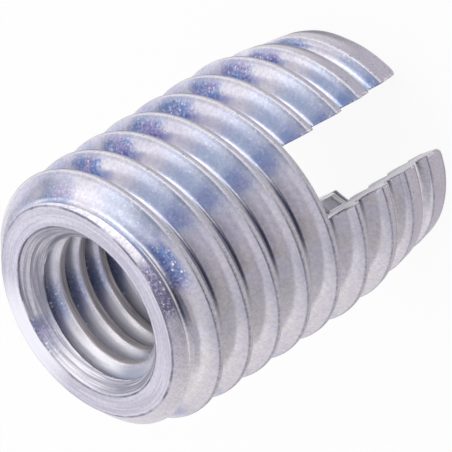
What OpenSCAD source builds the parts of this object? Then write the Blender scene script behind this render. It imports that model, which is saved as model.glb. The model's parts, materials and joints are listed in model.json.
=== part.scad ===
// Slotted self-tapping threaded insert for an M6 x 1 screw. It is one turned piece. A coarse
// thread outside cuts its own way into wood, plastic or light metal, and a slot across the
// leading end gives the cutting edges. Millimetres, +Z out of the mouth of the bore, origin at
// the centre of the slotted end. The fine M6 thread in the bore is drawn at its core diameter.

/* [Body] */
// Length from the slotted end to the flush face
body_length = 14; // [11:0.5:24]
// Diameter over the crests of the outer thread
thread_d = 10; // [9.5:0.5:14]

/* [Outer thread] */
// Pitch of the outer thread, right-handed
pitch = 1.5; // [1.25:0.05:1.8]
// Width of the flat on each crest
crest_flat = 0.2; // [0.1:0.02:0.4]
// Width of the flat at the root
root_flat = 0.26; // [0.1:0.02:0.4]
// Angle between the two flanks of the thread
flank_angle = 60; // [50:1:72]
// Angle about the axis at which a crest meets the slotted end
thread_turn = 205; // [0:1:359]

/* [Ends] */
// Length of the lead-in taper at the slotted end
taper_length = 4; // [1:0.25:4.8]
// Angle of the lead-in taper, from the axis
taper_angle = 10; // [4:1:12]
// Angle of the chamfer at the flush face, from the axis
chamfer_angle = 45; // [35:1:60]

/* [Bore] */
// Core diameter of the M6 x 1 thread in the bore
bore_d = 5; // [4:0.1:6]
// Radial width of the countersink at the flush face
mouth_step = 0.8; // [0.4:0.1:1]
// Radial width of the countersink at the slotted end
tip_step = 0.6; // [0.2:0.1:0.8]
// Full angle of both countersinks
countersink_angle = 90; // [80:1:120]

/* [Slot] */
// Width of the slot across the leading end
slot_width = 3; // [1.5:0.1:3.6]
// Depth of the slot from the slotted end
slot_depth = 6.2; // [3:0.1:8]

/* [Hidden] */
$fn = 96;
columns = 60;
past = 1;
crest_r = thread_d / 2;
bore_r = bore_d / 2;
flank_run = (pitch - crest_flat - root_flat) / 2;
flank_rise = 1 / tan(flank_angle / 2);
root_r = crest_r - flank_run * flank_rise;
taper_rise = tan(taper_angle);
chamfer_rise = tan(chamfer_angle);
chamfer_start = body_length - (crest_r - root_r) / chamfer_rise;
countersink_rise = tan(countersink_angle / 2);

// Rows of points up each column: five on every ridge, from a ridge wholly under the slotted end
// to one wholly over the flush face. Rows outside the body are pulled in to its end planes.
first_ridge = -2;
last_ridge = ceil(body_length / pitch) + 3;
ridge_rows = 5;
rows = (last_ridge - first_ridge + 1) * ridge_rows;

// Height of the middle of a ridge at an angle about the axis
function ridge_z(angle, ridge) = pitch * ((angle - thread_turn) / 360 + ridge);

// Largest radius at a height: the taper, the full thread or the chamfer
function envelope_r(z) =
    z < taper_length ? crest_r - (taper_length - z) * taper_rise
    : z > chamfer_start ? crest_r - (z - chamfer_start) * chamfer_rise
    : crest_r;

// Radius of the thread form at a distance along the axis from the middle of a ridge
function form_r(offset) =
    max(root_r, crest_r - max(0, abs(offset) - crest_flat / 2) * flank_rise);

// Distance along the axis to the middle of the nearest ridge
function ridge_offset(angle, z) =
    let (turns = (z - ridge_z(angle, 0)) / pitch)
    (turns - round(turns)) * pitch;

function surface_r(angle, z) = min(envelope_r(z), form_r(ridge_offset(angle, z)));

// Where the lower flank of a ridge, which would reach the full crest at z, meets the envelope
function lower_corner(z) =
    max(z - flank_run,
        z < taper_length ? (z * flank_rise - taper_length * taper_rise) / (flank_rise - taper_rise)
        : z > chamfer_start ? (z * flank_rise + chamfer_start * chamfer_rise) / (flank_rise + chamfer_rise)
        : z);

// The same for the upper flank
function upper_corner(z) =
    min(z + flank_run,
        z < taper_length ? (z * flank_rise + taper_length * taper_rise) / (flank_rise + taper_rise)
        : z > chamfer_start ? (z * flank_rise - chamfer_start * chamfer_rise) / (flank_rise - chamfer_rise)
        : z);

function ridge_row_z(middle, row) =
    let (
        foot = crest_flat / 2 + flank_run,
        lower = lower_corner(middle - crest_flat / 2),
        upper = upper_corner(middle + crest_flat / 2)
    )
    [middle - foot, lower, (lower + upper) / 2, upper, middle + foot][row];

function row_z(angle, row) =
    let (
        ridge = first_ridge + floor(row / ridge_rows),
        z = ridge_row_z(ridge_z(angle, ridge), row % ridge_rows)
    )
    min(body_length, max(0, z));

// The threaded body before the bore and the slot are cut: one closed skin of columns and rows.
// One turn round the axis climbs one ridge, so the last column joins the first a ridge higher.
module threaded_body() {
    heights = [for (column = [0 : columns - 1], row = [0 : rows - 1]) row_z(column * 360 / columns, row)];
    skin = [
        for (column = [0 : columns - 1], row = [0 : rows - 1])
            let (angle = column * 360 / columns, z = heights[column * rows + row], r = surface_r(angle, z))
            [r * cos(angle), r * sin(angle), z]
    ];
    function height(column, row) = heights[column * rows + row];
    // All rows pulled in to one end plane share that column's end point
    function point_at(column, row) =
        let (z = height(column, row))
        column * rows + (z <= 0 ? 0 : z >= body_length ? rows - 1 : row);
    bottom_middle = columns * rows;
    top_middle = bottom_middle + 1;
    sides = [
        for (column = [0 : columns - 1])
            let (wraps = column == columns - 1, next = wraps ? 0 : column + 1, climb = wraps ? ridge_rows : 0)
            for (row = [0 : rows - 2 - climb])
                let (
                    here = point_at(column, row),
                    above = point_at(column, row + 1),
                    across = point_at(next, row + climb),
                    across_above = point_at(next, row + 1 + climb)
                )
                each [
                    if (across != across_above) [here, across_above, across],
                    if (here != above) [here, above, across_above]
                ]
    ];
    ends = [
        for (column = [0 : columns - 1])
            let (next = (column + 1) % columns)
            each [
                [bottom_middle, column * rows, next * rows],
                [top_middle, next * rows + rows - 1, column * rows + rows - 1]
            ]
    ];
    polyhedron(points = concat(skin, [[0, 0, 0], [0, 0, body_length]]), faces = concat(sides, ends));
}

// Straight core of the bore with a countersink at each end
module bore() {
    translate([0, 0, -past])
        cylinder(r = bore_r, h = body_length + 2 * past);
    translate([0, 0, body_length])
        countersink(mouth_step);
    rotate([180, 0, 0])
        countersink(tip_step);
}

// Cone that is one step wider than the bore at z = 0 and runs past both of its ends
module countersink(step) {
    depth = step / countersink_rise;
    translate([0, 0, -depth])
        cylinder(r1 = bore_r, r2 = bore_r + step + past * countersink_rise, h = depth + past);
}

// One straight cut across both walls
module slot() {
    translate([-thread_d, -slot_width / 2, -past])
        cube([2 * thread_d, slot_width, slot_depth + past]);
}

module insert() {
    color([0.8, 0.8, 0.84])
        difference() {
            threaded_body();
            bore();
            slot();
        }
}

insert();
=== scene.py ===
"""Slotted self-tapping threaded insert in zinc-plated steel, standing on its slotted end.

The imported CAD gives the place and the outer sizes. The mesh below repeats its thread form with
rounded edges, and adds the fine M6 thread and the tool marks that the CAD leaves out.
"""

import json
import math

import bmesh
import bpy
import numpy as np
from mathutils import Matrix, Vector


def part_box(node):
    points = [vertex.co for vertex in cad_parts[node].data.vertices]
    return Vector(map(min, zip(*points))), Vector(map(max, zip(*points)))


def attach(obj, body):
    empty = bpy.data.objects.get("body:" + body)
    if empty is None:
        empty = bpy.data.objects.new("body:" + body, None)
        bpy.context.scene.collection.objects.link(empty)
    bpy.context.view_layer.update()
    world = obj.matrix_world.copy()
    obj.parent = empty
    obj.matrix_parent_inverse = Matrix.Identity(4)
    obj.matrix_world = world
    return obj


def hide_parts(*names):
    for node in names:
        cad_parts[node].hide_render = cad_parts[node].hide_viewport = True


MM = 0.001

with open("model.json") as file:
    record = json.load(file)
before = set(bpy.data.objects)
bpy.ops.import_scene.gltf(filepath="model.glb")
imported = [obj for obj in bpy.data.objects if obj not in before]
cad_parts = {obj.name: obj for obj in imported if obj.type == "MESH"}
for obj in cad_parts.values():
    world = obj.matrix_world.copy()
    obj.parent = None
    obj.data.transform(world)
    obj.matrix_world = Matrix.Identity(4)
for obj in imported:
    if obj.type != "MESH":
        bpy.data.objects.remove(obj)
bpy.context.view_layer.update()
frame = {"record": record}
record = frame["record"]
low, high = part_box("insert")
mounts = {mount["name"]: mount for mount in record["mounts"]}

# Sizes from the frame, in millimetres as everything here is until the mesh is made
LENGTH = (high.z - low.z) / MM
CREST_R = (high.x - low.x) / 2 / MM
BORE_R = mounts["inner_thread"]["dims"]["r_mm"]
MOUTH_Z = mounts["inner_thread"]["pos_m"][2] / MM

# Sizes and angles repeated from part.scad
PITCH = 1.5
CREST_FLAT = 0.2
ROOT_FLAT = 0.26
FLANK_ANGLE = 60
THREAD_TURN = 205
TAPER_LENGTH = 4
TAPER_ANGLE = 10
CHAMFER_ANGLE = 45
MOUTH_STEP = 0.8
TIP_STEP = 0.6
SLOT_WIDTH = 3
SLOT_DEPTH = 6.2

# The M6 x 1 thread in the bore
INNER_PITCH = 1.0
INNER_CREST_FLAT = 0.27
INNER_ROOT_FLAT = 0.13
INNER_TURN = 294

# Swell of each flank, which fades out on short flanks, and waviness of the crest edges
FLANK_SWELL = 0.035
INNER_SWELL = 0.03
FLAT_FLANK = 0.2
SWELL_FADE = 0.3
EDGE_WAVE = 0.005

# Cuts of the edge roundings: how far each starts from its corner
END_CUT = 0.035
MOUTH_CUT = END_CUT * 0.7
CREST_CUT = 0.05
ROOT_CUT = 0.17
INNER_CREST_CUT = 0.06
INNER_ROOT_CUT = 0.05
SIDE_CUT = 0.03
TIP_CUT = 0.16
MOST_CUT = 0.45  # share of a straight run that one cut may take

# Rounded corners of the slotted end: radius, share of it on the +Y wall, and reach along the axis
TIP_CORNER = 0.3
FAR_CORNER = 0.4
TIP_REACH = 0.9

# Distance over which the rounded sides of the slot fade out at its floor
SIDE_FADE = 0.08

# Columns of the mesh across one side of the slot and round one wall, and the distances from the
# slot's edge at which two more stand close to it
SLOT_STEPS = 16
WALL_STEPS = 66
CLOSE_COLUMNS = (0.07, 0.15)

# Ridges of each thread that have rows, first and last. The rows on each rounding and on each
# straight run of a ridge: foot and lower flank, crest edge and crest, crest edge and upper flank,
# foot and root
OUTER_RIDGES = (-2, 12)
OUTER_CORNER_ROWS = (4, 4, 4, 4)
OUTER_RUN_ROWS = (2, 1, 4, 1)
INNER_RIDGES = (-2, 15)
INNER_CORNER_ROWS = (3, 3, 3, 3)
INNER_RUN_ROWS = (1, 1, 4, 0)

# Rounds in which a column's angle and its radius, which depend on each other, are refined
THREAD_ROUNDS = 5
SOLVE_ROUNDS = 6
FLOOR_ROUNDS = 8

# Turned rings on the face: rows, depth, spacing, and how their depth varies with the radius
FACE_ROWS = 36
RING_DEPTH = 0.0035
RING_SPACING = 0.105
RING_VARIETY = 17

# Steps that the tool left in the countersink: rows, lowest row, depth and spacing
CONE_ROWS = 42
CONE_END = 13.12
STEP_DEPTH = 0.026
STEP_SPACING = 0.155
STEP_FADE_TOP = 0.12
STEP_FADE_LOW = 0.08

# In metres: points closer than MERGE become one, and a face thinner than COLLAPSE is dropped
MERGE = 2e-7
COLLAPSE = 1e-8

# Shading: edges sharper than this many degrees stay sharp, and large faces weigh this much
SHARP_EDGE = 50
FACE_WEIGHT = 80


# ---------------------------------------------------------------- camera
AIM = Vector((0.0155, -0.1463, 7.0)) * MM
CAMERA_DISTANCE = 297.5 * MM
CAMERA_AZIMUTH = math.radians(5.91)
CAMERA_ELEVATION = math.radians(35.65)
CAMERA_ROLL = math.radians(-123.11)
CAMERA_LENS = 674.5


def direction(azimuth, elevation):
    """Unit vector at two angles in radians."""
    level = math.cos(elevation)
    return Vector((level * math.cos(azimuth), level * math.sin(azimuth), math.sin(elevation)))


def make_camera():
    data = bpy.data.cameras.new("camera")
    data.sensor_width = 36
    data.lens = CAMERA_LENS
    data.clip_start = 0.01
    data.clip_end = 20
    camera = bpy.data.objects.new("camera", data)
    bpy.context.collection.objects.link(camera)
    back = direction(CAMERA_AZIMUTH, CAMERA_ELEVATION)
    level = back.to_track_quat("Z", "Y").to_matrix()
    turn = (level @ Matrix.Rotation(CAMERA_ROLL, 3, "Z")).to_4x4()
    camera.matrix_world = Matrix.Translation(AIM + back * CAMERA_DISTANCE) @ turn
    bpy.context.scene.camera = camera


make_camera()


# ---------------------------------------------------------------- thread form
class Thread:
    """One helical thread on a signed radius: positive outside, negative in the bore, so that
    larger always means nearer to the crest."""

    def __init__(self, crest, pitch, crest_flat, root_flat, turn, low_end, high_end):
        self.crest = crest
        self.pitch = pitch
        self.flat = crest_flat
        self.turn = math.radians(turn)
        self.run = (pitch - crest_flat - root_flat) / 2
        self.rise = 1 / math.tan(math.radians(FLANK_ANGLE / 2))
        self.root = crest - self.run * self.rise
        self.low, self.low_rise = low_end
        self.high, self.high_rise = high_end

    def envelope(self, z):
        """Largest signed radius at a height."""
        low_end = self.crest - (self.low - z) * self.low_rise
        high_end = self.crest - (z - self.high) * self.high_rise
        return np.where(z < self.low, low_end, np.where(z > self.high, high_end, self.crest))

    def surface(self, theta, z):
        turns = z / self.pitch - (theta - self.turn) / (2 * np.pi)
        offset = np.abs(turns - np.round(turns)) * self.pitch
        form = self.crest - np.maximum(0, offset - self.flat / 2) * self.rise
        return np.minimum(self.envelope(z), np.maximum(self.root, form))

    def meet(self, z, way):
        """Height at which a flank that would reach the full crest at z meets the envelope. The
        way is -1 for a lower flank and 1 for an upper one."""
        rise, low_rise, high_rise = self.rise, self.low_rise, self.high_rise
        at_low = (z * rise + way * self.low * low_rise) / (rise + way * low_rise)
        at_high = (z * rise - way * self.high * high_rise) / (rise - way * high_rise)
        return np.where(z < self.low, at_low, np.where(z > self.high, at_high, z))

    def corner(self, theta, index):
        """Height of corner 0 to 3 of a ridge: foot, crest edge, crest edge, foot. Corner 4 is
        corner 0 of the next ridge, and so on."""
        ridge, kind = np.divmod(index, 4)
        middle = self.pitch * ((theta - self.turn) / (2 * np.pi) + ridge)
        foot = self.flat / 2 + self.run
        below, above = middle - self.flat / 2, middle + self.flat / 2
        lower = np.maximum(self.meet(below, -1), below - self.run)
        upper = np.minimum(self.meet(above, 1), above + self.run)
        corners = [middle - foot, lower, upper]
        return np.select([kind == 0, kind == 1, kind == 2], corners, middle + foot)


chamfer_rise = math.tan(math.radians(CHAMFER_ANGLE))
outer_run = (PITCH - CREST_FLAT - ROOT_FLAT) / 2
root_r = CREST_R - outer_run / math.tan(math.radians(FLANK_ANGLE / 2))
OUTER = Thread(
    CREST_R,
    PITCH,
    CREST_FLAT,
    ROOT_FLAT,
    THREAD_TURN,
    (TAPER_LENGTH, math.tan(math.radians(TAPER_ANGLE))),
    (LENGTH - (CREST_R - root_r) / chamfer_rise, chamfer_rise),
)
INNER = Thread(
    -BORE_R,
    INNER_PITCH,
    INNER_CREST_FLAT,
    INNER_ROOT_FLAT,
    INNER_TURN,
    (TIP_STEP, 1.0),
    (LENGTH - MOUTH_STEP, 1.0),
)
FACE_R = root_r
MOUTH_R = BORE_R + MOUTH_STEP


# ---------------------------------------------------------------- columns
def make_columns():
    """Each column is a section of the wall. Its angle at radius r is base + gain * asin(half / r),
    so that the columns at the slot keep to the slot's flat sides. Returns one row per column:
    base, gain, half, height of its lower end, push of a rounded side edge, and its zone, which
    is 0 over the slot and 1 on a wall."""
    half = SLOT_WIDTH / 2
    edge = half + SIDE_CUT
    columns = []
    side = [
        (SIDE_CUT * (1 - math.cos(angle)), SIDE_CUT * (1 - math.sin(angle)))
        for angle in (0, math.pi / 6, math.pi / 3)
    ]
    for turn in (0, math.pi):
        far = turn + math.pi
        for step in range(SLOT_STEPS + 1):
            columns.append((turn, step / SLOT_STEPS * 2 - 1, half, SLOT_DEPTH, 0, 0))
        for inset, push in side:
            columns.append((turn, 1, half + inset, 0, push, 1))
        columns.append((turn, 1, edge, 0, 0, 1))
        for inset in CLOSE_COLUMNS:
            columns.append((turn, 1, edge + inset, 0, 0, 1))
        for step in range(2, WALL_STEPS - 1):
            share = step / WALL_STEPS
            columns.append((turn + math.pi * share, 1 - 2 * share, edge, 0, 0, 1))
        for inset in reversed(CLOSE_COLUMNS):
            columns.append((far, -1, edge + inset, 0, 0, 1))
        columns.append((far, -1, edge, 0, 0, 1))
        for inset, push in reversed(side):
            columns.append((far, -1, half + inset, 0, push, 1))
    return np.array(columns)


COLUMNS = make_columns()
BASE, GAIN, HALF, FLOOR_Z, PUSH, ZONE = (COLUMNS[:, i : i + 1] for i in range(6))
LOW_CUT = np.where(ZONE == 1, TIP_CUT, END_CUT)


def angle_at(r):
    return BASE + GAIN * np.arcsin(np.clip(HALF / np.abs(r), -1, 1))


# ---------------------------------------------------------------- rows
def round_corner(before, corner, after, cut, t):
    """Point at t on the curve that cuts a corner, all as (r, z) pairs of arrays."""
    to_before = [b - c for b, c in zip(before, corner)]
    to_after = [a - c for a, c in zip(after, corner)]
    reach_before = np.maximum(np.hypot(*to_before), 1e-9)
    reach_after = np.maximum(np.hypot(*to_after), 1e-9)
    cut_before = np.minimum(cut, MOST_CUT * reach_before) / reach_before
    cut_after = np.minimum(cut, MOST_CUT * reach_after) / reach_after
    return tuple(
        c + (1 - t) ** 2 * cut_before * b + t**2 * cut_after * a
        for c, b, a in zip(corner, to_before, to_after)
    )


def helical_rows(ridges, cuts, corner_rows, run_rows):
    """Row list for the first to the last of the ridges: corner index, place t on the corner's
    curve, and place on the straight run to the next corner, both from 0 to 1."""
    rows = []
    for ridge in range(ridges[0], ridges[1] + 1):
        for kind in range(4):
            corner = ridge * 4 + kind
            for i in range(corner_rows[kind]):
                rows.append((corner, i / (corner_rows[kind] - 1), 0))
            for i in range(1, run_rows[kind] + 1):
                rows.append((corner, 1, i / (run_rows[kind] + 1)))
    index, t, along = (np.array(column)[None, :] for column in zip(*rows))
    return index, t, along, np.array(cuts)


def waviness(turns, phase):
    """A smooth value from -1 to 1 that wanders along a crest edge, by turns along the thread."""
    waves = ((13.3, 0.4), (29.6, 0.35), (47.2, 0.25))
    return sum(size * np.sin(2 * np.pi * count * turns + phase * count) for count, size in waves)


def helical_block(thread, rows, z_low, z_high, swell=0.0, wave=0.0):
    """(r, z) of each row in each column, pulled in to z_low and z_high, and the height before
    that. The flanks swell out in the middle, and the edges of a crest wander a little along it.
    A column's angle depends on the radius, so the two are refined together."""
    index, t, along, cut = rows
    kind = index % 4
    flank = ((kind == 0) | (kind == 2)) * (along > 0)
    bulge = swell * 4 * along * (1 - along) * flank
    edge = ((kind == 1) | (kind == 2)) * (along == 0)
    r = np.full((len(COLUMNS), index.shape[1]), abs(thread.crest))
    for _ in range(THREAD_ROUNDS):
        theta = angle_at(r)
        z = [thread.corner(theta, index + step) for step in (-1, 0, 1, 2)]
        p = [(thread.surface(theta, one), one) for one in z]
        here = round_corner(p[0], p[1], p[2], cut[kind], t)
        there = round_corner(p[1], p[2], p[3], cut[(index + 1) % 4], 0)
        signed, height = (h + (n - h) * along for h, n in zip(here, there))
        reach_r, reach_z = there[0] - here[0], there[1] - here[1]
        reach = np.maximum(np.hypot(reach_r, reach_z), 1e-9)
        full = np.clip((reach - FLAT_FLANK) / SWELL_FADE, 0, 1)
        signed = signed + bulge * full * np.abs(reach_z) / reach
        height = height - bulge * full * np.sign(reach_z) * reach_r / reach
        if wave:
            height = height + wave * edge * waviness(theta / (2 * np.pi) + index // 4, kind)
        height_in = np.clip(height, z_low, z_high)
        signed = np.where(height == height_in, signed, thread.surface(theta, height_in))
        r = np.abs(signed)
    return signed, height_in, height


def snap_to_floor(thread, signed, z, raw):
    """The two walls' border columns get one row exactly at the slot floor's edge, which the slot
    zone's columns end on, so that the two meet point to point."""
    level = SLOT_DEPTH + END_CUT
    for column in np.flatnonzero((ZONE[:, 0] == 1) & (PUSH[:, 0] == SIDE_CUT)):
        base, gain, half = BASE[column, 0], GAIN[column, 0], HALF[column, 0]
        row = int(np.argmax(np.where(raw[column] < level, raw[column], -np.inf)))
        r = abs(thread.crest)
        for _ in range(FLOOR_ROUNDS):
            theta = float(base + gain * math.asin(half / r))
            value = float(thread.surface(np.array(theta), np.array(level)))
            r = abs(value)
        signed[column, row], z[column, row] = value, level
    return signed, z


def solve(thread, z):
    """Signed radius of the surface at height z, with the column's angle taken at that radius."""
    signed = np.full(np.broadcast(z, BASE).shape, float(thread.crest))
    for _ in range(SOLVE_ROUNDS):
        signed = thread.surface(angle_at(signed), z)
    return signed


def curve_rows(start, corner, end, steps):
    """Rows on the curve from start to end that rounds the corner between them."""
    return [
        tuple(
            (1 - t) ** 2 * a + 2 * t * (1 - t) * b + t**2 * c
            for a, b, c in zip(start, corner, end)
        )
        for t in steps
    ]


def face_rows(one):
    """Rows over the face, in shallow turned rings."""
    t = np.arange(1, FACE_ROWS + 1)[None, :] / (FACE_ROWS + 1)
    r = (FACE_R - END_CUT) + (MOUTH_R + END_CUT - FACE_R + END_CUT) * t
    wave = 0.5 - 0.5 * np.cos(2 * np.pi * r / RING_SPACING)
    variety = 0.6 + 0.4 * np.sin(r * RING_VARIETY)
    return r * one, (LENGTH - RING_DEPTH * wave * variety) * one


def cone_rows(one):
    """Rows down the countersink, in steps, with the first turns of the thread cut into it."""
    t = np.arange(1, CONE_ROWS + 1)[None, :] / CONE_ROWS
    z = (LENGTH - MOUTH_CUT) + (CONE_END - LENGTH + MOUTH_CUT) * t * one
    fade_top = np.clip((LENGTH - z) / STEP_FADE_TOP, 0, 1)
    fade_low = np.clip((z - MOUTH_Z) / STEP_FADE_LOW, 0, 1)
    phase = (LENGTH - z) / STEP_SPACING
    step = (phase - np.floor(phase)) ** 2
    cone = STEP_DEPTH * (fade_top * fade_low) * (0.5 - step) - INNER.envelope(z)
    groove = -INNER.surface(angle_at(cone), z)
    for _ in range(THREAD_ROUNDS):
        groove = -INNER.surface(angle_at(np.maximum(cone, groove)), z)
    return -np.maximum(cone, groove), z


def build_section():
    """All rows of all columns as arrays r and z, going up the outside, over the face, down the
    bore and back along the lower end. The sign is 1 outside and -1 in the bore."""
    one = np.ones((len(COLUMNS), 1))
    steps = (0.25, 0.5, 0.75, 1)

    cuts = (ROOT_CUT, CREST_CUT, CREST_CUT, ROOT_CUT)
    rows = helical_rows(OUTER_RIDGES, cuts, OUTER_CORNER_ROWS, OUTER_RUN_ROWS)
    side_top = LENGTH - END_CUT
    out_r, out_z, raw = helical_block(
        OUTER, rows, FLOOR_Z + LOW_CUT, side_top, FLANK_SWELL, EDGE_WAVE
    )
    parts = [snap_to_floor(OUTER, out_r, out_z, raw)]

    start = (solve(OUTER, side_top * one), side_top * one)
    corner = (FACE_R * one, LENGTH * one)
    end = ((FACE_R - END_CUT) * one, LENGTH * one)
    parts += curve_rows(start, corner, end, steps)
    parts.append(face_rows(one))

    start = ((MOUTH_R + END_CUT) * one, LENGTH * one)
    corner = (MOUTH_R * one, LENGTH * one)
    end = ((MOUTH_R - MOUTH_CUT) * one, (LENGTH - MOUTH_CUT) * one)
    parts += curve_rows(start, corner, end, (0,) + steps)
    parts.append(cone_rows(one))

    cuts = (INNER_ROOT_CUT, INNER_CREST_CUT, INNER_CREST_CUT, INNER_ROOT_CUT)
    rows = helical_rows(INNER_RIDGES, cuts, INNER_CORNER_ROWS, INNER_RUN_ROWS)
    in_r, in_z, raw = helical_block(INNER, rows, FLOOR_Z + END_CUT, CONE_END, INNER_SWELL)
    in_r, in_z = snap_to_floor(INNER, in_r, in_z, raw)
    parts.append((in_r[:, ::-1], in_z[:, ::-1]))

    start = (solve(INNER, FLOOR_Z + END_CUT), FLOOR_Z + END_CUT)
    corner = (solve(INNER, FLOOR_Z), FLOOR_Z)
    inner_end = (corner[0] - END_CUT, FLOOR_Z)
    parts += curve_rows(start, corner, inner_end, steps)
    end = (solve(OUTER, FLOOR_Z + LOW_CUT), FLOOR_Z + LOW_CUT)
    corner = (solve(OUTER, FLOOR_Z), FLOOR_Z)
    outer_start = (corner[0] - LOW_CUT, FLOOR_Z)
    for t in (1 / 3, 2 / 3):
        parts.append((np.abs(inner_end[0]) * (1 - t) + np.abs(outer_start[0]) * t, FLOOR_Z))
    parts += curve_rows(outer_start, corner, end, (0, 0.25, 0.5, 0.75))

    sign = np.concatenate([np.sign(r) * np.ones_like(z) for r, z in parts], axis=1)
    radius = np.concatenate([np.abs(r) for r, z in parts], axis=1)
    height = np.concatenate([z * np.ones_like(r) for r, z in parts], axis=1)
    return radius, height, sign


def shape_slot_edges(r, z, sign):
    """Rounds the side edges of the two walls, up to the slot's floor, and the corners where the
    slot's sides meet the slotted end. Returns r, the angle and z."""
    below = np.clip((SLOT_DEPTH - z) / SIDE_FADE, 0, 1)
    push = PUSH * below * below * (3 - 2 * below)
    r = r - push * sign
    z = np.where(z < END_CUT, z + push * (1 - z / END_CUT), z)
    theta = angle_at(r)
    to_side = np.clip(TIP_CORNER - (np.abs(r * np.sin(theta)) - SLOT_WIDTH / 2), 0, TIP_CORNER)
    lift = TIP_CORNER - np.sqrt(TIP_CORNER**2 - to_side**2)
    lift = lift * np.where(np.sin(theta) > 0, FAR_CORNER, 1)
    lift = lift * np.clip((r - BORE_R - TIP_STEP) / (CREST_R - BORE_R - 2 * TIP_STEP), 0, 1)
    z = z + np.where(ZONE == 1, lift * np.clip(1 - z / TIP_REACH, 0, 1), 0)
    return r, theta, z


def build_mesh():
    """The skin of quads between neighbouring columns of one zone. The slot's sides are the holes
    that this leaves, filled in afterwards."""
    r, theta, z = shape_slot_edges(*build_section())
    points = np.stack([r * np.cos(theta), r * np.sin(theta), z], axis=-1) * MM
    index = np.arange(r.size).reshape(r.shape)
    following = np.roll(index, -1, axis=1)
    quads = np.concatenate(
        [
            np.stack([index[i], index[i + 1], following[i + 1], following[i]], axis=1)
            for i in np.flatnonzero(ZONE[:-1, 0] == ZONE[1:, 0])
        ]
    )
    mesh = bpy.data.meshes.new("insert_body")
    mesh.from_pydata(points.reshape(-1, 3).tolist(), [], quads.tolist())
    bm = bmesh.new()
    bm.from_mesh(mesh)
    bmesh.ops.remove_doubles(bm, verts=bm.verts, dist=MERGE)
    bmesh.ops.dissolve_degenerate(bm, dist=COLLAPSE, edges=bm.edges)
    open_edges = [edge for edge in bm.edges if len(edge.link_faces) == 1]
    filled = bmesh.ops.holes_fill(bm, edges=open_edges, sides=0)["faces"]
    bmesh.ops.triangulate(bm, faces=filled, quad_method="BEAUTY", ngon_method="BEAUTY")
    bmesh.ops.recalc_face_normals(bm, faces=bm.faces)
    bm.to_mesh(mesh)
    bm.free()
    return mesh


mesh = build_mesh()
insert = bpy.data.objects.new("insert_body", mesh)
bpy.context.collection.objects.link(insert)
mesh.polygons.foreach_set("use_smooth", [True] * len(mesh.polygons))
mesh.set_sharp_from_angle(angle=math.radians(SHARP_EDGE))
weighted = insert.modifiers.new("weighted_normals", "WEIGHTED_NORMAL")
weighted.keep_sharp = True
weighted.weight = FACE_WEIGHT


# ---------------------------------------------------------------- vertex masks
# A point within OUTER_REACH of the outer thread's form is on it, roundings included. The distance
# past the nearest crest's edge is kept from EDGE_LEAST, inside the crest, to EDGE_MOST
OUTER_REACH = 0.12
EDGE_LEAST = -0.5
EDGE_MOST = 0.7


def smooth_step(low_edge, high_edge, value):
    t = np.clip((value - low_edge) / (high_edge - low_edge), 0, 1)
    return t * t * (3 - 2 * t)


def add_masks(mesh):
    """Vertex attributes that tell the material which machined surface it is on."""
    points = np.empty(len(mesh.vertices) * 3, dtype=np.float32)
    mesh.vertices.foreach_get("co", points)
    x, y, z = points.reshape(-1, 3).astype(float).T / MM
    r, theta = np.hypot(x, y), np.arctan2(y, x)
    outside = np.abs(OUTER.surface(theta, z) - r) < OUTER_REACH
    inside = r < MOUTH_R - 0.01
    in_cone = z > MOUTH_Z - 0.02
    below_envelope = OUTER.envelope(z) - r
    face = smooth_step(LENGTH - 0.03, LENGTH - 0.01, z) * (r > MOUTH_R - 0.02)
    chamfer = smooth_step(OUTER.high - 0.01, OUTER.high + 0.03, z) * (1 - face)
    # Distance along the axis past the nearest crest's edge, and which side of its middle
    ridge = np.round(z / PITCH - (theta - OUTER.turn) / (2 * np.pi)).astype(int)
    lower, upper = OUTER.corner(theta, ridge * 4 + 1), OUTER.corner(theta, ridge * 4 + 2)
    middle, half = (lower + upper) / 2, np.maximum((upper - lower) / 2, 0.02)
    past_edge = np.clip(np.abs(z - middle) - half, EDGE_LEAST, EDGE_MOST)
    masks = {
        "edge": np.where(outside, past_edge, EDGE_MOST),
        "way": np.clip((z - middle) / half, -1, 1) * outside,
        "crest": smooth_step(0.03, 0.006, below_envelope) * outside * (z < OUTER.high) * (1 - face),
        "depth": np.clip(below_envelope / (CREST_R - root_r), 0, 1) * outside * (1 - face),
        "face": face,
        "chamfer": chamfer * smooth_step(0.03, 0.01, below_envelope) * outside,
        "bore": inside.astype(float),
        "cone": inside * smooth_step(0.05, 0.02, np.abs(r + INNER.envelope(z))) * in_cone,
        "land": inside * smooth_step(0.03, 0.01, r - BORE_R) * ~in_cone,
        "groove": inside * np.clip((r - BORE_R) / (-INNER.root - BORE_R), 0, 1),
    }
    for name, values in masks.items():
        layer = mesh.attributes.new(name, "FLOAT", "POINT")
        layer.data.foreach_set("value", np.ascontiguousarray(values, dtype=np.float32))


add_masks(mesh)


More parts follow.
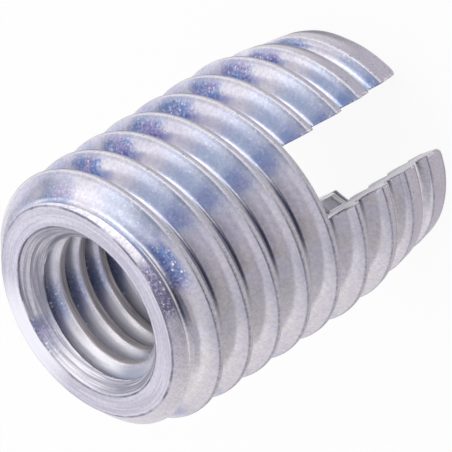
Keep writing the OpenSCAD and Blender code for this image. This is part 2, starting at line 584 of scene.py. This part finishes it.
# ---------------------------------------------------------------- node helpers
class Nodes:
    """Short calls that add nodes to a tree. An argument may be a number, a tuple or a socket."""

    def __init__(self, tree):
        self.tree = tree

    def put(self, kind, inputs=(), **settings):
        node = self.tree.nodes.new(kind)
        for name, value in settings.items():
            setattr(node, name, value)
        for name, value in dict(inputs).items():
            self.join(node.inputs[name], value)
        return node

    def join(self, socket, value):
        if isinstance(value, bpy.types.NodeSocket):
            self.tree.links.new(value, socket)
        elif value is not None:
            socket.default_value = value

    def math(self, operation, a, b=None, clamp=False):
        node = self.put("ShaderNodeMath", operation=operation, use_clamp=clamp)
        for socket, value in zip(node.inputs, (a, b)):
            self.join(socket, value)
        return node.outputs[0]

    def fold(self, operation, values):
        """One operation on any number of values, two at a time."""
        total = values[0]
        for value in values[1:]:
            total = self.math(operation, total, value)
        return total

    def times(self, *values):
        return self.fold("MULTIPLY", values)

    def plus(self, *values):
        return self.fold("ADD", values)

    def most(self, *values):
        return self.fold("MAXIMUM", values)

    def minus(self, a, b):
        return self.math("SUBTRACT", a, b)

    def without(self, mask):
        """1 where the mask is 0, and 0 where it is 1."""
        return self.math("SUBTRACT", 1, mask)

    def vector(self, operation, a, b):
        node = self.put("ShaderNodeVectorMath", operation=operation)
        self.join(node.inputs[0], a)
        self.join(node.inputs[1], b)
        return node.outputs["Value" if operation == "DOT_PRODUCT" else "Vector"]

    def combine(self, x, y, z):
        return self.put("ShaderNodeCombineXYZ", {"X": x, "Y": y, "Z": z}).outputs[0]

    def separate(self, vector):
        return self.put("ShaderNodeSeparateXYZ", {"Vector": vector}).outputs

    def span(self, value, a, b, low_out=0, high_out=1):
        """Smooth step from low_out at a to high_out at b."""
        ends = {"From Min": a, "From Max": b, "To Min": low_out, "To Max": high_out}
        node = self.put("ShaderNodeMapRange", ends, interpolation_type="SMOOTHSTEP")
        self.join(node.inputs["Value"], value)
        return node.outputs[0]

    def line(self, value, centre, half):
        """1 at centre, falling to 0 at half away from it."""
        distance = self.math("ABSOLUTE", self.minus(value, centre))
        return self.span(distance, half * 0.4, half, 1, 0)

    def mix(self, factor, a, b, blend="MIX"):
        """Mix of two colours: a at factor 0 and b at factor 1."""
        node = self.put("ShaderNodeMix", data_type="RGBA", blend_type=blend)
        for index, value in ((0, factor), (6, a), (7, b)):
            self.join(node.inputs[index], value)
        return node.outputs[2]

    def noise(self, vector, scale, detail, roughness):
        inputs = {"Vector": vector, "Scale": scale, "Detail": detail, "Roughness": roughness}
        return self.put("ShaderNodeTexNoise", inputs).outputs[0]

    def cells(self, vector, scale):
        """Distance from the middle of a random cell, and a random number of that cell."""
        inputs = {"Vector": vector, "Scale": scale, "Randomness": 1.0}
        outputs = self.put("ShaderNodeTexVoronoi", inputs, feature="F1").outputs
        return outputs["Distance"], self.separate(outputs["Color"])[0]

    def attribute(self, name):
        return self.put("ShaderNodeAttribute", attribute_name=name).outputs["Fac"]

    def bump(self, height, distance, strength):
        inputs = {"Height": height, "Distance": distance, "Strength": strength}
        return self.put("ShaderNodeBump", inputs).outputs[0]


# ---------------------------------------------------------------- zinc material
LILAC = (0.73, 0.71, 0.78, 1)
PALE = (0.83, 0.81, 0.84, 1)
WARM = (0.76, 0.73, 0.74, 1)
STRAW = (0.76, 0.72, 0.64, 1)
SKY = (0.56, 0.66, 0.81, 1)
BLUE = (0.13, 0.26, 0.53, 1)
VIOLET = (0.27, 0.25, 0.50, 1)
CREST_GREY = (0.53, 0.51, 0.59, 1)
CREST_BROWN = (0.40, 0.36, 0.37, 1)
TIP_LILAC = (0.50, 0.46, 0.54, 1)
BRIGHT = (0.97, 0.97, 1.0, 1)
DARK = (0.07, 0.07, 0.13, 1)
CUT_VIOLET = (0.20, 0.18, 0.33, 1)
SIDE_GREY = (0.36, 0.31, 0.40, 1)
FACE_LILAC = (0.68, 0.67, 0.78, 1)
RING_GREY = (0.30, 0.30, 0.36, 1)
LAND_GREY = (0.74, 0.70, 0.69, 1)
BORE_BLUE = (0.68, 0.71, 0.77, 1)
BORE_STAIN_AND_REFLECTION = (0.22, 0.28, 0.48, 1)
BORE_SHADE = (0.36, 0.42, 0.55, 1)
SPECK = (0.16, 0.12, 0.11, 1)

# Places round the axis: angle, half width, strength, and where it isn't 0.85 the softness of the
# edges, as a share of the half width. First where the passivation turns colour: the sky-blue and
# blue bands are partly its real tint and partly painted reflection
SKY_PLACES = ((30, 13, 0.62), (150, 16, 0.6), (222, 20, 0.5), (318, 14, 0.12))
BLUE_PLACES = ((74, 8, 1.0, 0.7), (100, 9, 0.4), (20, 4.5, 0.4), (186, 10, 0.8), (262, 9, 0.5))
STRAW_PLACE = (-42, 24, 0.45)
# The same on the first turn. On the chamfer next to the face: dark violet, partly the cut's tint
# and partly painted shade, and a painted highlight; a painted glare on the face; and where the
# rim's dark line leaves off
FIRST_BLUE = (5, 9, 1.0)
CHAMFER_DARK = (-2, 13, 1.0, 0.4)
CHAMFER_BRIGHT = (34, 21, 0.5, 0.5)
FACE_GLARE = (178, 22, 0.85)
RIM_GAP = (190, 40, 0.8)
# Painted shade and painted highlights on the flanks, the crests and the roots
DIM_FLANK = (-22, 24, 0.1)
DIM_ROOT = (-6, 15, 0.3)
PALE_CREST = (84, 26, 1.0)
CREST_SHADE = (-12, 20, 0.35)
UPPER_EDGE = (42, 26, 0.22)
LOWER_EDGE = (-42, 24, 0.5)
ROOT_DARK = (-5, 15, 1.0)
ROOT_BRIGHT = (28, 15, 1.0)
FIRST_ROOT_BRIGHT = (52, 24, 1.0)
# And in the bore and its countersink: blue patches, partly painted reflection, a painted sheen and
# a painted blue-grey shade
BORE_PATCH = (173, 15, 0.85)
CONE_PATCH = (184, 10, 0.9)
BORE_SHEEN = (215, 25, 1.0, 0.7)
BORE_SHADE_PLACE = (252, 18, 0.6)

# The painted highlight on the crest edges is brightest round this angle
LIT_ANGLE = math.radians(38)

# Heights over which the first turn's root, flank and deepest part begin, and over which the
# tapered crests pass into full ones and lose the dark line at their lower edge
FIRST_ROOT = (12.2, 12.5)
FIRST_FLANK = (12.35, 12.6)
FIRST_DEEP = (12.8, 13.0)
TAPER_END = (3.0, 4.4)
TAPER_EDGE = (4.2, 3.0)

# Grain, and the flecks of the painted glints: scale per metre, detail and roughness
FINE = (26000, 2, 0.6)
FLECKS = (13000, 2, 0.6)
CUT_GRAIN = (10000, 2, 0.6)
SPECKLE = (9000, 3, 0.7)
MOTTLE = (7000, 2, 0.65)
CLOUD = (1100, 3, 0.55)
BROAD = (330, 2, 0.5)
# Turned marks: scale across them per metre, and round the axis
MARKS = (24000, 1.6)
COARSE_MARKS = (8400, 1.3)
# Cells that hold one dark speck or one bright crystal painted as a glint, per metre
SPECK_CELLS = 700
CRYSTAL_CELLS = 8500
BUMP_DISTANCE = 0.004 * MM


class Zinc:
    """Zinc-plated steel, laid on layer by layer over the machined surfaces that the vertex
    attributes name. What a later layer needs is kept on self."""

    def __init__(self):
        self.material = bpy.data.materials.new("zinc_plated_steel")
        self.material.use_nodes = True
        tree = self.material.node_tree
        self.shader = tree.nodes["Principled BSDF"]
        self.n = Nodes(tree)
        self.find_place()
        self.make_grain()
        self.lay_plating()
        self.lay_tints_and_painted_light()
        self.lay_crests()
        self.lay_edges()
        self.lay_roots()
        self.lay_slot()
        self.lay_face()
        self.lay_countersink_and_bore()
        self.lay_specks()
        self.lay_sparkle()
        self.set_shader()

    def over(self, factor, colour):
        self.colour = self.n.mix(factor, self.colour, colour)

    def find_place(self):
        n = self.n
        self.place = n.put("ShaderNodeTexCoord").outputs["Object"]
        x, self.y, self.z = n.separate(self.place)
        self.radius = n.math("SQRT", n.plus(n.times(x, x), n.times(self.y, self.y)))
        self.angle = n.math("ARCTAN2", self.y, x)
        self.height = n.math("DIVIDE", self.z, MM)
        self.edge, self.way = n.attribute("edge"), n.attribute("way")
        self.crest, self.depth = n.attribute("crest"), n.attribute("depth")
        self.face, self.chamfer = n.attribute("face"), n.attribute("chamfer")
        self.bore, self.cone = n.attribute("bore"), n.attribute("cone")
        self.land, self.groove = n.attribute("land"), n.attribute("groove")
        self.outer = n.without(n.most(self.face, self.bore))
        self.not_chamfer = n.times(self.outer, n.without(self.chamfer))

    def turned_noise(self, across, around_axis):
        """Fine marks that run round the axis, as a lathe leaves them, without a seam."""
        n = self.n
        sine, cosine = n.math("SINE", self.angle), n.math("COSINE", self.angle)
        where = n.combine(
            n.times(self.radius, across), n.times(sine, around_axis), n.times(self.z, across)
        )
        inputs = {"Vector": where, "W": n.times(cosine, around_axis)}
        inputs.update({"Scale": 1.0, "Detail": 2, "Roughness": 0.6})
        return n.put("ShaderNodeTexNoise", inputs, noise_dimensions="4D").outputs[0]

    def make_grain(self):
        n = self.n
        self.fine, self.speckle = n.noise(self.place, *FINE), n.noise(self.place, *SPECKLE)
        self.cloud, self.broad = n.noise(self.place, *CLOUD), n.noise(self.place, *BROAD)
        self.marks = self.turned_noise(*MARKS)
        self.coarse = self.turned_noise(*COARSE_MARKS)
        self.mottled = n.span(self.speckle, 0.3, 0.56, 0.42, 1)
        self.streaks = n.span(self.marks, 0.3, 0.7, 0.7, 1)
        # Two ways for a border to wander, by more and by less than a crest's width
        self.wander = n.times(n.minus(self.cloud, 0.5), 0.22)
        self.wobble = n.times(n.minus(self.speckle, 0.5), 0.09)
        self.ragged = n.plus(self.angle, self.wander, n.times(n.minus(self.speckle, 0.5), 0.2))

    def around(self, degrees, half, strength, soft=0.85):
        """Strength at an angle round the axis, falling to 0 over ragged edges."""
        n = self.n
        nearness = n.math("COSINE", n.minus(self.ragged, math.radians(degrees)))
        outer_edge = math.cos(math.radians(half * (1 + soft)))
        inner_edge = math.cos(math.radians(half * (1 - soft)))
        return n.span(nearness, outer_edge, inner_edge, 0, strength)

    def bands(self, places):
        return self.n.most(*(self.around(*place) for place in places))

    def lay_plating(self):
        """The bare plating: lilac and pale, straw-coloured in one place, and warmer on one side,
        which is painted light.
        """
        n = self.n
        self.colour = n.mix(n.span(self.broad, 0.35, 0.65), LILAC, PALE)
        # Painted light: a warmer tint on the side towards -Y, as a warmer lamp there would give
        side = n.span(n.math("SINE", self.angle), 0.15, -0.6)
        self.over(n.times(side, 0.7), WARM)
        cloudy = n.span(self.cloud, 0.38, 0.58)
        deep = n.span(self.depth, 0.15, 0.45)
        self.over(n.times(self.around(*STRAW_PLACE), cloudy, deep, self.not_chamfer), STRAW)

    def lay_tints_and_painted_light(self):
        """Coloured passivation in bands, partly its real tint and partly painted reflection; the
        colours of the cut on the chamfer, partly painted shade, with a painted highlight; and
        painted shade on the flanks and roots.
        """
        n, speckle, depth = self.n, self.speckle, self.depth
        self.sky = n.times(self.bands(SKY_PLACES), self.not_chamfer)
        middle = n.line(n.plus(n.math("DIVIDE", self.radius, MM), self.wander), 4.5, 0.42)
        first = n.times(self.not_chamfer, n.span(self.height, *FIRST_FLANK), middle)
        self.first_blue = n.times(self.around(*FIRST_BLUE), first)
        blue = n.times(self.bands(BLUE_PLACES), self.not_chamfer, n.span(depth, 0.0, 0.35, 0.35, 1))
        deep = n.times(n.span(self.height, *FIRST_DEEP), n.span(depth, 0.5, 0.85, 0.35, 0.95))
        blue = n.times(blue, n.without(deep))
        self.blue = n.times(n.most(blue, self.first_blue), self.mottled)
        rough = n.span(speckle, 0.34, 0.56, 0.35, 1)
        self.dark_cut = n.times(self.around(*CHAMFER_DARK), self.chamfer, rough)
        # The sky-blue and blue bands: the passivation's tint laid where reflections show it, so
        # partly painted reflection
        self.over(self.sky, SKY)
        share = n.times(n.span(self.cloud, 0.42, 0.60), n.without(n.times(self.first_blue, 0.6)))
        self.over(self.blue, n.mix(share, BLUE, VIOLET))
        # Dark violet on the chamfer, partly the cut's tint and partly painted shade, then a painted
        # highlight on it
        self.over(self.dark_cut, n.mix(n.span(speckle, 0.4, 0.6), DARK, CUT_VIOLET))
        self.over(n.times(self.around(*CHAMFER_BRIGHT), self.chamfer), BRIGHT)
        self.over(n.times(self.face, 0.4), FACE_LILAC)
        self.over(n.span(n.noise(self.place, *MOTTLE), 0.35, 0.62, 0.2, 0), VIOLET)
        # Painted shade on the flanks and near the roots, round one angle
        root = n.times(self.around(*DIM_ROOT), n.span(depth, 0.35, 0.95))
        dim = n.most(self.around(*DIM_FLANK), root)
        self.over(n.times(dim, self.not_chamfer), DARK)

    def lay_crests(self):
        """The dull turned flats, darker and streaked, with painted light and painted shade on them
        round one angle.
        """
        n, crest, speckle = self.n, self.crest, self.speckle
        tone = n.mix(n.span(speckle, 0.40, 0.60, 0, 0.8), CREST_GREY, CREST_BROWN)
        tip_tone = n.mix(n.span(speckle, 0.42, 0.62, 0, 0.35), TIP_LILAC, CREST_BROWN)
        tone = n.mix(n.span(self.height, *TAPER_END), tip_tone, tone)
        self.over(n.times(crest, self.streaks), tone)
        # Painted light and shade: round one angle the crests are paler, with painted shade on their
        # lower half
        far = self.around(*PALE_CREST)
        self.over(n.times(crest, far, 0.45), PALE)
        self.over(n.times(crest, far, n.span(self.way, 0.1, -0.6, 0, 0.75)), DARK)

    def lay_edges(self):
        """Painted highlights and painted shade as broken lines along the edges of the crests, and
        dark pits between them.
        """
        n, speckle, line = self.n, self.speckle, self.n.line
        edge = n.plus(self.edge, self.wobble)
        upper, lower = n.span(self.way, 0.0, 0.4), n.span(self.way, 0.0, -0.4)
        lit = n.span(n.math("COSINE", n.minus(self.angle, LIT_ANGLE)), 0.6, 0.88, 0.1, 1)
        broken = n.span(speckle, 0.38, 0.54, 0.25, 1)
        # Painted highlight along the upper crest edges round one angle, and painted shade just past
        # them
        self.over(n.times(line(edge, -0.03, 0.05), upper, lit, broken, 0.4), BRIGHT)
        self.over(n.times(line(edge, 0.045, 0.05), upper, self.around(*UPPER_EDGE)), DARK)
        # Painted shade along the upper crest edges, round one angle and on the -Y side
        far_side = n.span(n.math("SINE", self.angle), 0.0, -0.3, 0, 0.4)
        shade = n.most(self.around(*CREST_SHADE), far_side)
        broken = n.span(speckle, 0.40, 0.56, 0.15, 1)
        self.over(n.times(line(edge, -0.02, 0.06), upper, shade, broken, self.outer), DARK)
        # Painted shade along the lower edges of the tapered crests, round one angle
        tapered = n.span(self.height, *TAPER_EDGE)
        below = n.times(line(edge, 0.0, 0.07), lower, tapered, self.outer)
        self.over(n.times(below, self.around(*LOWER_EDGE)), DARK)
        self.over(n.times(self.crest, n.span(speckle, 0.42, 0.34, 0, 0.4)), DARK)

    def lay_roots(self):
        """Painted shade and painted highlights in the roots of the outer thread: darker all along,
        and dark or bright by their angle.
        """
        n = self.n
        first = n.span(self.height, *FIRST_ROOT)
        depth = n.plus(self.depth, n.times(self.wobble, 0.4), n.times(first, 0.14))
        root = n.times(n.span(depth, 0.88, 0.96), self.not_chamfer)
        above_slot = n.span(self.height, SLOT_DEPTH - 0.5, SLOT_DEPTH + 0.5)
        bright = n.most(self.around(*ROOT_BRIGHT), n.times(self.around(*FIRST_ROOT_BRIGHT), first))
        # Painted shade in the roots, then more painted shade and painted highlights by their angle
        self.over(n.times(root, n.without(first), 0.25), DARK)
        self.over(n.times(root, self.around(*ROOT_DARK), above_slot, 0.68), DARK)
        self.over(n.times(root, bright, n.plus(n.times(first, 0.5), 0.3)), BRIGHT)

    def lay_slot(self):
        """The slot's sides and the rim of the slotted end: greyer, with a painted glint broken
        along the burr.
        """
        n, speckle = self.n, self.speckle
        across = n.math("ABSOLUTE", n.math("DIVIDE", self.y, MM))
        in_slot = n.span(self.height, SLOT_DEPTH + 0.06, SLOT_DEPTH - 0.06)
        side = n.times(n.line(across, SLOT_WIDTH / 2, 0.08), in_slot)
        rim = n.times(n.line(self.height, 0.09, 0.14), self.outer, 0.8)
        bare = n.most(n.times(side, 0.75), rim)
        self.over(n.times(bare, n.span(speckle, 0.36, 0.56, 0.6, 1)), SIDE_GREY)
        # A painted glint, broken, along the burr at the slot's outer edges
        burr_glint = n.times(n.line(across, SLOT_WIDTH / 2 + 0.05, 0.06), in_slot, self.outer)
        self.over(n.times(burr_glint, n.span(speckle, 0.5, 0.6, 0, 0.7)), BRIGHT)

    def lay_face(self):
        """Turned rings on the face and the countersink, a painted glare on the face and the chamfer
        round one angle, and a dark broken line at each edge.
        """
        n, cloud = self.n, self.cloud
        self.turned = n.most(self.face, self.cone)
        self.rings = n.span(n.plus(n.times(self.coarse, 0.6), n.times(self.marks, 0.4)), 0.4, 0.6)
        ring_depth = n.plus(n.times(self.face, 0.4), n.times(self.cone, 0.9))
        self.over(n.times(self.rings, ring_depth), RING_GREY)
        # Painted highlight: a glare on the face and the chamfer
        self.over(n.times(self.around(*FACE_GLARE), n.most(self.face, self.chamfer)), BRIGHT)
        self.r_mm = n.math("DIVIDE", n.plus(self.radius, n.times(self.wobble, 0.5 * MM)), MM)
        rim = n.times(n.line(self.r_mm, FACE_R - 0.01, 0.06), n.span(cloud, 0.35, 0.6, 0.15, 0.75))
        at_top = n.span(self.height, LENGTH - 0.1, LENGTH - 0.05)
        rim = n.times(rim, at_top, n.without(self.around(*RIM_GAP)))
        mouth = n.times(n.line(self.r_mm, MOUTH_R, 0.045), n.span(cloud, 0.4, 0.6, 0.35, 0.8))
        self.over(n.most(rim, mouth), DARK)

    def lay_countersink_and_bore(self):
        """Stains that are partly painted reflection, a painted sheen and painted shade in the bore,
        on its flanks, lands and roots, and streaks on the lands.
        """
        n, groove, cone = self.n, self.groove, self.cone
        below_cone = n.math("SUBTRACT", self.bore, cone, clamp=True)
        self.cut_thread = n.times(below_cone, n.span(groove, 0.1, 0.5))
        self.flank = n.times(below_cone, n.span(groove, 0.02, 0.1))
        self.over(n.times(self.cut_thread, 0.7), BORE_BLUE)

        # Blue patches on the flanks and the countersink: the passivation's tint, partly painted
        # reflection
        inner = n.span(groove, 0.05, 0.4, 0.6, 1)
        stain_and_reflection = n.times(self.around(*BORE_PATCH), self.flank, inner)
        outward = n.span(self.r_mm, BORE_R + 0.2, MOUTH_R - 0.1, 0.3, 1)
        cone_patch = n.times(self.around(*CONE_PATCH), cone, outward)
        self.patch = n.times(n.most(stain_and_reflection, cone_patch), self.mottled)
        self.over(self.patch, n.mix(n.span(self.cloud, 0.46, 0.62), BORE_STAIN_AND_REFLECTION, VIOLET))
        self.over(n.times(cone_patch, n.span(self.speckle, 0.58, 0.42, 0, 0.7)), DARK)
        # Painted blue-grey shade on the cut thread round one angle
        self.over(n.times(self.around(*BORE_SHADE_PLACE), self.cut_thread), BORE_SHADE)

        # A painted sheen on the flanks and the countersink round one angle
        lit_flank = n.times(self.flank, n.span(groove, 0.5, 0.85, 1, 0.3))
        sheen = n.times(self.around(*BORE_SHEEN), n.most(lit_flank, n.times(cone, 0.6)))
        self.sheen = n.times(sheen, n.without(n.times(self.rings, cone, 0.7)))
        self.over(self.sheen, BRIGHT)
        self.over(n.times(self.land, self.streaks), LAND_GREY)
        self.over(n.times(self.land, n.span(self.marks, 0.5, 0.62, 0, 0.45)), DARK)
        # Painted shadow deep in the roots of the cut thread
        self.over(n.times(self.cut_thread, n.span(groove, 0.86, 0.97, 0, 0.6)), DARK)

    def lay_specks(self):
        """Small dark specks, each in its own cell."""
        n = self.n
        ragged = n.vector("MULTIPLY", n.combine(self.fine, self.speckle, self.fine), (0.05,) * 3)
        spread = n.vector("MULTIPLY", self.place, (SPECK_CELLS,) * 3)
        distance, lot = n.cells(n.vector("ADD", spread, ragged), 1.0)
        size = n.times(n.span(lot, 0.68, 1.0), 0.045)
        self.speck = n.times(n.math("LESS_THAN", distance, size), 0.8)
        self.over(self.speck, SPECK)

    def lay_sparkle(self):
        """Painted glints: bright crystals and flecks where the plating is coloured or the cut is
        rough, and grain on the chamfer.
        """
        n = self.n
        # Painted glints on bright crystals
        distance, lot = n.cells(self.place, CRYSTAL_CELLS)
        reach = n.times(n.span(lot, 0.66, 1.0), 0.52)
        crystal_glint = n.span(n.minus(reach, distance), 0.0, 0.12)
        places = n.most(
            self.dark_cut,
            n.times(self.patch, 0.8),
            self.first_blue,
            n.times(self.blue, 0.6),
            n.times(self.sky, 0.6),
        )
        self.over(n.times(crystal_glint, places, n.without(self.crest)), BRIGHT)
        grain = n.span(n.noise(self.place, *CUT_GRAIN), 0.5, 0.62)
        self.over(n.times(grain, self.chamfer, 0.45), CREST_GREY)
        flecks = n.span(n.noise(self.place, *FLECKS), 0.60, 0.68)
        where = n.most(
            self.blue, n.times(self.sky, 0.9), n.times(self.chamfer, 0.9), n.times(self.crest, 0.5)
        )
        glint = n.times(flecks, n.span(self.cloud, 0.45, 0.6, 0.35, 1))
        self.over(n.times(glint, n.plus(n.times(where, 0.6), 0.12)), BRIGHT)

    def set_shader(self):
        n, crest, chamfer = self.n, self.crest, self.chamfer
        n.join(self.shader.inputs["Base Color"], self.colour)
        dull = n.most(
            n.times(self.land, 0.45),
            n.times(self.cut_thread, 0.5),
            n.times(self.sheen, self.flank, 0.6),
            n.times(self.cone, 0.25),
            n.times(self.speck, 0.6),
        )
        n.join(self.shader.inputs["Metallic"], n.math("SUBTRACT", 1, dull, clamp=True))
        rough = n.plus(
            n.span(self.cloud, 0.3, 0.7, 0.2, 0.3),
            n.times(crest, 0.22),
            n.times(chamfer, 0.12),
            n.times(self.turned, 0.1),
            n.times(self.land, 0.25),
            n.times(n.most(self.cone, self.cut_thread), 0.12),
        )
        n.join(self.shader.inputs["Roughness"], rough)
        ringed = n.most(self.turned, n.times(n.most(crest, self.land), 0.7))
        lathe = n.times(n.plus(self.marks, self.coarse), n.plus(n.times(ringed, 0.9), 0.2))
        # Rougher plating where the bands of tint and painted reflection lie
        tint_and_reflection = n.times(n.most(self.blue, self.sky), 0.5)
        rough_cut = n.times(self.speckle, n.plus(tint_and_reflection, n.times(chamfer, 1.2)))
        relief = n.plus(n.times(lathe, 0.9), n.times(self.fine, 0.2), n.times(rough_cut, 3.0))
        n.join(self.shader.inputs["Normal"], n.bump(relief, BUMP_DISTANCE, 0.8))


mesh.materials.append(Zinc().material)
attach(insert, "root")
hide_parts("insert")


# ---------------------------------------------------------------- floor, world and lamp
FLOOR_REACH = 1.5
PAPER = (0.92, 0.92, 0.92, 1)
WHITE = (1, 1, 1, 1)
WHITE_SHARE = 0.92


def make_floor():
    """A pale floor. Where the camera or a reflection sees it, it is mostly a plain white, and
    the rest of it is paper that takes the insert's shadow."""
    data = bpy.data.meshes.new("floor")
    signs = ((-1, -1), (1, -1), (1, 1), (-1, 1))
    corners = [(x * FLOOR_REACH, y * FLOOR_REACH, 0) for x, y in signs]
    data.from_pydata(corners, [], [(0, 1, 2, 3)])
    floor = bpy.data.objects.new("floor", data)
    bpy.context.collection.objects.link(floor)
    material = bpy.data.materials.new("floor")
    material.use_nodes = True
    tree = material.node_tree
    tree.nodes.clear()
    n = Nodes(tree)
    rays = n.put("ShaderNodeLightPath").outputs
    seen = n.most(rays["Is Camera Ray"], rays["Is Glossy Ray"], rays["Is Transmission Ray"])
    paper = n.put("ShaderNodeBsdfDiffuse", {"Color": PAPER}).outputs[0]
    white = n.put("ShaderNodeEmission", {"Color": WHITE, "Strength": 1}).outputs[0]
    inputs = {0: n.times(seen, WHITE_SHARE), 1: paper, 2: white}
    mixed = n.put("ShaderNodeMixShader", inputs).outputs[0]
    n.put("ShaderNodeOutputMaterial", {"Surface": mixed})
    data.materials.append(material)


make_floor()


def towards(azimuth, elevation):
    """Unit vector at two angles in degrees, with the azimuth counted from the camera's own."""
    return direction(math.radians(azimuth) + CAMERA_AZIMUTH, math.radians(elevation))


# Soft panels of the studio, added to a dim surround: azimuth from the camera's, elevation,
# inner and outer radius in degrees, colour
SURROUND = (0.14, 0.15, 0.21, 1)
STUDIO = (
    (170, 68, 15, 54, (0.76, 0.73, 0.71)),
    (-40, 60, 4, 26, (0.45, 0.44, 0.44)),
    (-88, 46, 4, 24, (0.40, 0.39, 0.39)),
    (50, 14, 10, 36, (1.5, 1.42, 1.4)),
    (105, 8, 10, 36, (1.1, 1.1, 1.1)),
    (8, 40, 5, 28, (1.35, 1.3, 1.25)),
    (67, 42, 5, 26, (0.92, 0.89, 0.87)),
    (138, 8, 10, 21, (0.48, 0.48, 0.52)),
    (108, 50, 6, 28, (0.42, 0.42, 0.42)),
    (-138, 24, 14, 44, (0.72, 0.69, 0.66)),
    (-85, 6, 8, 34, (0.6, 0.55, 0.5)),
    (170, 6, 10, 40, (0.45, 0.45, 0.48)),
)


def make_world():
    world = bpy.data.worlds.new("world")
    bpy.context.scene.world = world
    world.use_nodes = True
    background = world.node_tree.nodes["Background"]
    n = Nodes(world.node_tree)
    looking = n.put("ShaderNodeTexCoord").outputs["Generated"]
    colour = SURROUND
    for azimuth, elevation, inner, outer, tint in STUDIO:
        nearness = n.vector("DOT_PRODUCT", looking, tuple(towards(azimuth, elevation)))
        edges = (math.cos(math.radians(angle)) for angle in (outer, inner))
        colour = n.mix(n.span(nearness, *edges), colour, (*tint, 1), "ADD")
    n.join(background.inputs["Color"], colour)
    background.inputs["Strength"].default_value = 1.0


make_world()

# One soft square lamp, high behind the insert as seen from the camera: in degrees, with the azimuth
# counted from the camera's own, metres and watts
KEY_AZIMUTH = 160
KEY_ELEVATION = 65
KEY_DISTANCE = 0.5
KEY_SIZE = 0.3
KEY_POWER = 0.1


def make_lamp():
    data = bpy.data.lights.new("key", "AREA")
    data.size = KEY_SIZE
    data.energy = KEY_POWER
    lamp = bpy.data.objects.new("key", data)
    bpy.context.collection.objects.link(lamp)
    back = towards(KEY_AZIMUTH, KEY_ELEVATION)
    lamp.location = back * KEY_DISTANCE
    lamp.rotation_euler = back.to_track_quat("Z", "Y").to_euler()


make_lamp()

bpy.context.scene.view_settings.view_transform = "Standard"
